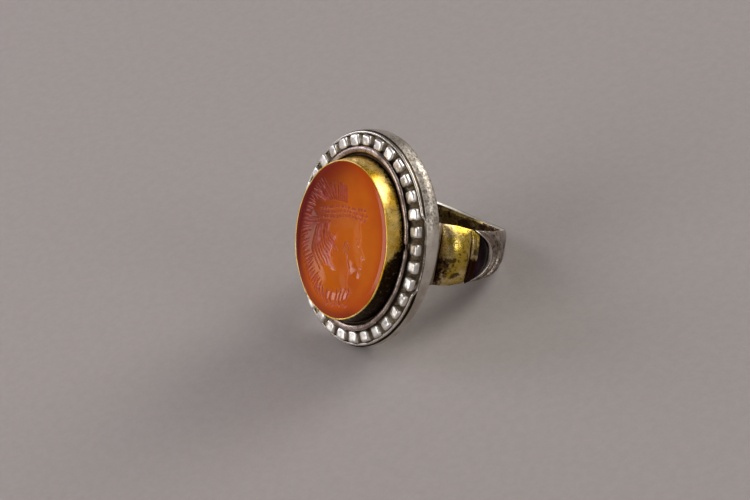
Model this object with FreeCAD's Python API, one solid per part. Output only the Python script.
import FreeCAD, Part

import math
import os

from FreeCAD import Rotation, Vector

# A signet ring: an engraved oval gem in a gold collet, on an oval silver bezel with a row of
# beads, carried by a tapering hoop with bulbous gilt shoulders.
#
# Every piece is first drawn in the bezel's own frame, in millimetres: X across the finger,
# Y along the finger, Z out of the bezel's face, with Z = 0 at the tops of the beads.
# rest_on_table() then lays the whole ring down as it rests by itself, on the lower tip of the
# bezel and the lower edge of the hoop's back.
#
# Ovals are given as (half length along Y, half width along X).

# Driving dimensions of the bezel
BEAD_LINE = (12.60, 10.65)      # oval through the middles of the beads
BEAD_COUNT = 33
BEAD_PHASE = 0.75               # place of the first bead, in steps round from the X axis
BEAD_RADIAL = 1.30
BEAD_TANGENT = 1.48
BEAD_HEIGHT = 1.15
BEAD_ROUND = 0.30               # rounding of a bead's upper edges
SHEET = 0.40                    # thickness of the bezel's silver sheet
BOSS = (11.20, 8.85)            # raised middle of the face plate, inside the inner wire
BOSS_TOP = 0.15
WIRE = 0.60                     # width of the inner wire
INNER_WIRE_TOP = 0.10
RIM_INNER_OFFSET = 0.67         # from the bead line out to the rim moulding's inner wall
SHELF_TOP = -1.05               # the ledge of the rim moulding that carries the outer wire
OUTER_WIRE_OFFSETS = (0.67, 0.93)
OUTER_WIRE_TOP = -0.72
OUTER_WIRE_SLOPE = 0.09         # how far the wire's outer side leans in
BEZEL_BACK = -3.05
# The rim moulding's outer profile: (distance outside the bead line, height)
RIM_PROFILE = ((0.97, BEZEL_BACK), (1.20, -2.60), (1.26, -2.15), (1.21, -1.60), (1.02, SHELF_TOP))

# Driving dimensions of the setting
LIP = (10.08, 8.55)             # outer edge of the collet's lip
LIP_TOP = 2.47
COLLET_FOOT = (10.62, 8.74)
GEM_GIRDLE = (9.93, 8.40)
GEM_TABLE = (9.60, 8.07)
GEM_BASE = 0.90
GEM_BEVEL_START = 2.22
GEM_TOP = 2.62
BEARING = 0.45                  # width of the strip that the gem's edge stands on

# Driving dimensions of the hoop
BORE_R = 9.20
LINING = 0.42
HOOP_Z = -12.30                 # height of the hoop's axis
# Half width of the hoop at the bezel's back, at the hoop's axis and at the back of the finger
HALF_WIDTHS = ((4.60, BEZEL_BACK), (3.10, HOOP_Z), (1.10, -22.65))
EDGE_RISE = 0.12                # thickness of the outer band at its edges
# Crown heights above the lining, and the angles between which each piece of a shoulder lies.
# Angles are measured at the hoop's axis, down from the horizontal; the bezel's side is negative.
BAND_CROWN = 0.48
RIDGE_CROWN = 0.75
WAIST_CROWN = 0.58
STRIP_CROWN = 0.66
BULB_CROWN = 1.60
COLLAR_CROWN = 0.88
COLLAR_ANGLES = (-39.0, -34.5)
BULB_ANGLES = (-34.5, -10.6)
STRIP_ANGLES = (-10.6, -3.0)
STRIP_GROOVE = (-8.6, -5.4)
WAIST_ANGLES = (-3.0, 8.0)
RIDGE_ANGLES = (8.0, 11.0)
BULB_END_RISE = 0.55            # height of the bulb where it meets its neighbours
BULB_EDGE_DROP = 0.75           # how far the bulb's circle shrinks towards the hoop's edges
STRIP_GROOVE_DEPTH = 0.20
BRIDGE_FOOT_X = 9.10            # reach of the bridge along the bezel's back
BRIDGE_HOLLOW = 0.45            # depth of the hollow curve of the bridge's outer face

ORIGIN = Vector(0, 0, 0)
AXIS_X = Vector(1, 0, 0)
AXIS_Y = Vector(0, 1, 0)
AXIS_Z = Vector(0, 0, 1)
HOOP_CENTRE = Vector(0, 0, HOOP_Z)
LINING_R = BORE_R + LINING
FAR = 40.0                      # larger than the ring, for trimming blocks


def grown(oval, offset):
    """The oval that lies an offset outside another one."""
    return (oval[0] + offset, oval[1] + offset)


def oval_wire(oval, z):
    edge = Part.Ellipse(ORIGIN, oval[0], oval[1]).toShape()
    edge.rotate(ORIGIN, AXIS_Z, 90)
    edge.translate(Vector(0, 0, z))
    return Part.Wire([edge])


def oval_slab(oval, z_low, z_high):
    return Part.Face(oval_wire(oval, z_low)).extrude(Vector(0, 0, z_high - z_low))


def oval_loft(levels, ruled=True):
    """A solid through ovals, each given with its height, from the lowest up."""
    return Part.makeLoft([oval_wire(oval, z) for oval, z in levels], True, ruled)


def oval_points(oval, count, phase):
    """Evenly spaced places along an oval, each with the angle of its outward normal."""
    fine = 3600
    turn = [2 * math.pi * i / fine for i in range(fine + 1)]
    spots = [(oval[1] * math.cos(t), oval[0] * math.sin(t)) for t in turn]
    run = [0.0]
    for before, after in zip(spots, spots[1:]):
        run.append(run[-1] + math.dist(before, after))
    places = []
    index = 0
    for k in range(count):
        while run[index] < run[-1] * (k + phase) / count:
            index += 1
        x, y = spots[index]
        normal = math.degrees(math.atan2(y / oval[0] ** 2, x / oval[1] ** 2))
        places.append((x, y, normal))
    return places


# ---- the setting ----

def gem():
    body = oval_slab(GEM_GIRDLE, GEM_BASE, GEM_BEVEL_START)
    bevel = oval_loft([(GEM_GIRDLE, GEM_BEVEL_START), (GEM_TABLE, GEM_TOP)])
    return body.fuse(bevel).removeSplitter()


def gem_bearing():
    inner = grown(GEM_GIRDLE, -BEARING)
    return oval_slab(GEM_GIRDLE, BOSS_TOP, GEM_BASE).cut(oval_slab(inner, BOSS_TOP, GEM_BASE))


def gem_bedding():
    return oval_slab(grown(GEM_GIRDLE, -BEARING), BOSS_TOP, GEM_BASE)


def collet():
    wall = oval_loft([(COLLET_FOOT, BOSS_TOP), (LIP, LIP_TOP)])
    seat = oval_slab(GEM_GIRDLE, BOSS_TOP, GEM_BASE)
    return wall.cut(seat.fuse(gem()))


# ---- the bezel ----

def face_plate():
    """Sheet with a flat channel for the beads round a raised boss that carries the collet."""
    floor = -BEAD_HEIGHT
    channel = oval_slab(grown(BEAD_LINE, RIM_INNER_OFFSET), floor - SHEET, floor)
    boss = oval_slab(BOSS, floor - SHEET, BOSS_TOP)
    hollow = oval_slab(grown(BOSS, -SHEET), floor - SHEET, BOSS_TOP - SHEET)
    return channel.fuse(boss).cut(hollow).removeSplitter()


def inner_wire():
    floor = -BEAD_HEIGHT
    outer = oval_loft([(grown(BOSS, WIRE), floor), (grown(BOSS, WIRE), INNER_WIRE_TOP - WIRE / 2),
                       (grown(BOSS, WIRE / 2), INNER_WIRE_TOP)])
    return outer.cut(oval_slab(BOSS, floor, BOSS_TOP))


def bead():
    block = Part.makeBox(BEAD_RADIAL, BEAD_TANGENT, BEAD_HEIGHT)
    block.translate(Vector(-BEAD_RADIAL / 2, -BEAD_TANGENT / 2, -BEAD_HEIGHT))
    upper = [edge for edge in block.Edges if edge.BoundBox.ZMax > -BEAD_HEIGHT / 2]
    return block.makeFillet(BEAD_ROUND, upper)


def bead_row():
    beads = []
    for x, y, normal in oval_points(BEAD_LINE, BEAD_COUNT, BEAD_PHASE):
        piece = bead()
        piece.rotate(ORIGIN, AXIS_Z, normal)
        piece.translate(Vector(x, y, 0))
        beads.append(piece)
    return Part.makeCompound(beads)


def rim_moulding():
    outer = oval_loft([(grown(BEAD_LINE, offset), z) for offset, z in RIM_PROFILE], ruled=False)
    return outer.cut(oval_slab(grown(BEAD_LINE, RIM_INNER_OFFSET), BEZEL_BACK, SHELF_TOP))


def outer_wire():
    inside, outside = (grown(BEAD_LINE, offset) for offset in OUTER_WIRE_OFFSETS)
    crest = grown(outside, -OUTER_WIRE_SLOPE)
    ring = oval_loft([(outside, SHELF_TOP), (crest, OUTER_WIRE_TOP)])
    return ring.cut(oval_slab(inside, SHELF_TOP, OUTER_WIRE_TOP))


def bezel_core():
    """The filling that backs the thin sheet, between the face plate and the back plate."""
    floor = -BEAD_HEIGHT - SHEET
    rim = oval_slab(grown(BEAD_LINE, RIM_INNER_OFFSET), BEZEL_BACK + SHEET, floor)
    return rim.fuse(oval_slab(grown(BOSS, -SHEET), floor, BOSS_TOP - SHEET)).removeSplitter()


def back_plate():
    return oval_slab(grown(BEAD_LINE, RIM_INNER_OFFSET), BEZEL_BACK, BEZEL_BACK + SHEET)


# ---- the hoop ----

def hoop_point(radius, angle, y=0.0):
    turn = math.radians(angle)
    return Vector(radius * math.cos(turn), y, HOOP_Z - radius * math.sin(turn))


def hoop_sides():
    """A block that holds the hoop's tapering width and stops at the bezel's back."""
    (wide, top), (middle, centre), (narrow, bottom) = HALF_WIDTHS
    right = Part.Arc(Vector(-FAR, wide, top), Vector(-FAR, middle, centre), Vector(-FAR, narrow, bottom))
    left = Part.Arc(Vector(-FAR, -narrow, bottom), Vector(-FAR, -middle, centre), Vector(-FAR, -wide, top))
    foot = Part.LineSegment(right.EndPoint, left.StartPoint)
    head = Part.LineSegment(left.EndPoint, right.StartPoint)
    outline = Part.Wire([curve.toShape() for curve in (right, foot, left, head)])
    return Part.Face(outline).extrude(Vector(2 * FAR, 0, 0))


def sector(start, end):
    """A wedge of the space round the hoop's axis, between two angles."""
    corners = [HOOP_CENTRE, hoop_point(FAR, start), hoop_point(FAR, (start + end) / 2), hoop_point(FAR, end)]
    outline = Part.makePolygon([corner - FAR * AXIS_Y for corner in corners + corners[:1]])
    return Part.Face(outline).extrude(2 * FAR * AXIS_Y)


def crowned_ring(edge_radius, crown_radius, half_width, centre=HOOP_CENTRE):
    """A solid wheel about an axis along Y with a D-shaped rim: low at its edges, high in the middle."""
    hub = [Vector(0, -half_width, 0), Vector(0, half_width, 0)]
    edges = [spot + edge_radius * AXIS_X for spot in hub]
    arc = Part.Arc(edges[0], Vector(crown_radius, 0, 0), edges[1]).toShape()
    section = Part.Wire([Part.makeLine(hub[0], edges[0]), arc, Part.makeLine(edges[1], hub[1]),
                         Part.makeLine(hub[1], hub[0])])
    wheel = Part.Face(section).revolve(ORIGIN, AXIS_Y, 360)
    wheel.translate(centre)
    return wheel


def band_ring(crown, angle):
    """The outer band's wheel, as wide as the hoop is at an angle."""
    return crowned_ring(LINING_R + EDGE_RISE, LINING_R + crown, half_width_at(angle))


def half_width_at(angle):
    """Half width of the hoop at an angle, from the circle that its side outline follows."""
    arc = Part.Arc(*[Vector(width, 0, z) for width, z in HALF_WIDTHS])
    z = hoop_point(LINING_R, angle).z
    level = Part.Line(Vector(0, 0, z), Vector(1, 0, z))
    return max(spot.X for spot in arc.toShape().Curve.intersect(level) if abs(spot.X) < BORE_R)


def lining_space():
    drum = Part.makeCylinder(LINING_R, 2 * FAR, ORIGIN, AXIS_Y)
    drum.translate(HOOP_CENTRE - FAR * AXIS_Y)
    return drum


def hoop_piece(ring, angles, sides):
    return ring.common(sector(*angles)).common(sides).cut(lining_space())


def hoop_lining(sides):
    bore = Part.makeCylinder(BORE_R, 2 * FAR, ORIGIN, AXIS_Y)
    bore.translate(HOOP_CENTRE - FAR * AXIS_Y)
    return lining_space().common(sides).cut(bore)


def hoop_band(sides):
    """The silver back of the hoop, from one shoulder's ridge round to the other's."""
    start = RIDGE_ANGLES[1]
    return hoop_piece(band_ring(BAND_CROWN, start), (start, 180 - start), sides)


def shoulder_ring(crown, angles, sides):
    return hoop_piece(band_ring(crown, angles[0]), angles, sides)


def shoulder_bulb(sides):
    """A swelling turned on a smaller circle than the hoop, so it rises and falls along the band."""
    middle = sum(BULB_ANGLES) / 2
    half_chord = LINING_R * math.sin(math.radians(BULB_ANGLES[1] - BULB_ANGLES[0]) / 2)
    swell = BULB_CROWN - BULB_END_RISE
    radius = (half_chord ** 2 + swell ** 2) / (2 * swell)
    centre = hoop_point(LINING_R + BULB_CROWN - radius, middle)
    swelling = crowned_ring(radius - BULB_EDGE_DROP, radius, half_width_at(BULB_ANGLES[0]), centre)
    base = band_ring(BULB_END_RISE, BULB_ANGLES[0])
    return hoop_piece(base.fuse(swelling), BULB_ANGLES, sides)


def shoulder_strip(sides):
    strip = shoulder_ring(STRIP_CROWN, STRIP_ANGLES, sides)
    groove_floor = band_ring(STRIP_CROWN - STRIP_GROOVE_DEPTH, STRIP_ANGLES[0])
    return strip.cut(sector(*STRIP_GROOVE).cut(groove_floor))


def shoulder_bridge(sides):
    """The bracket that fills the corner between the lining and the bezel's back."""
    joint = hoop_point(LINING_R + (COLLAR_CROWN + EDGE_RISE) / 2, COLLAR_ANGLES[0])
    foot = Vector(BRIDGE_FOOT_X, 0, BEZEL_BACK)
    waist = (joint + foot) * 0.5 - BRIDGE_HOLLOW * AXIS_X
    near = -FAR * AXIS_Y
    flank = Part.Arc(joint + near, waist + near, foot + near).toShape()
    inner = Vector(0, 0, BEZEL_BACK) + near
    walls = [Part.makeLine(foot + near, inner), Part.makeLine(inner, HOOP_CENTRE + near),
             Part.makeLine(HOOP_CENTRE + near, joint + near)]
    block = Part.Face(Part.Wire([flank] + walls)).extrude(2 * FAR * AXIS_Y)
    return block.common(sides).cut(lining_space())


def mirrored(shape):
    return shape.mirror(ORIGIN, AXIS_X)


def hoop_nodes():
    sides = hoop_sides()
    right = {
        "shoulder_bridge": shoulder_bridge(sides),
        "shoulder_collar": shoulder_ring(COLLAR_CROWN, COLLAR_ANGLES, sides),
        "shoulder_bulb": shoulder_bulb(sides),
        "shoulder_strip": shoulder_strip(sides),
        "shoulder_waist": shoulder_ring(WAIST_CROWN, WAIST_ANGLES, sides),
        "shoulder_ridge": shoulder_ring(RIDGE_CROWN, RIDGE_ANGLES, sides),
    }
    nodes = {"hoop_lining": hoop_lining(sides), "hoop_band": hoop_band(sides)}
    for name, shape in right.items():
        nodes[name + "_right"] = shape
        nodes[name + "_left"] = mirrored(shape)
    return nodes


def bezel_nodes():
    makers = (gem, gem_bearing, gem_bedding, collet, face_plate, inner_wire, bead_row,
              rim_moulding, outer_wire, bezel_core, back_plate)
    return {maker.__name__: maker() for maker in makers}


# ---- the resting pose ----

def surface_points(shapes):
    return [point for shape in shapes for point in shape.tessellate(0.01)[0]]


def height(point, tilt):
    """Height of a bezel-frame point when the bezel's face leans back by a tilt in degrees."""
    lean = math.radians(tilt)
    return point.y * math.cos(lean) + point.z * math.sin(lean)


def resting_tilt(bezel, hoop):
    """The lean at which the bezel and the hoop touch the table together."""
    low, high = 10.0, 60.0
    while high - low > 1e-6:
        middle = (low + high) / 2
        if min(height(p, middle) for p in bezel) < min(height(p, middle) for p in hoop):
            low = middle
        else:
            high = middle
    return (low + high) / 2


def rest_on_table(bezel, hoop):
    """Turns the ring to its resting lean and puts the bottom middle of its box at the origin."""
    tilt = resting_tilt(surface_points([bezel["rim_moulding"]]), surface_points([hoop["hoop_band"]]))
    nodes = {**bezel, **hoop}
    for shape in nodes.values():
        shape.rotate(ORIGIN, AXIS_X, 90 - tilt)
    points = surface_points(nodes.values())
    middle_y = (min(p.y for p in points) + max(p.y for p in points)) / 2
    lowest = min(p.z for p in points)
    for shape in nodes.values():
        shape.translate(Vector(0, -middle_y, -lowest))
    centre = Rotation(AXIS_X, 90 - tilt).multVec(HOOP_CENTRE) - Vector(0, middle_y, lowest)
    print("tilt %.4f, finger bore centre %.4f %.4f %.4f" % (tilt, *centre))
    return nodes


os.makedirs("parts", exist_ok=True)
for name, shape in rest_on_table(bezel_nodes(), hoop_nodes()).items():
    print("%-24s %d solids, %8.3f mm3, valid %s" % (name, len(shape.Solids), shape.Volume, shape.isValid()))
    shape.exportStep("parts/" + name + ".step")
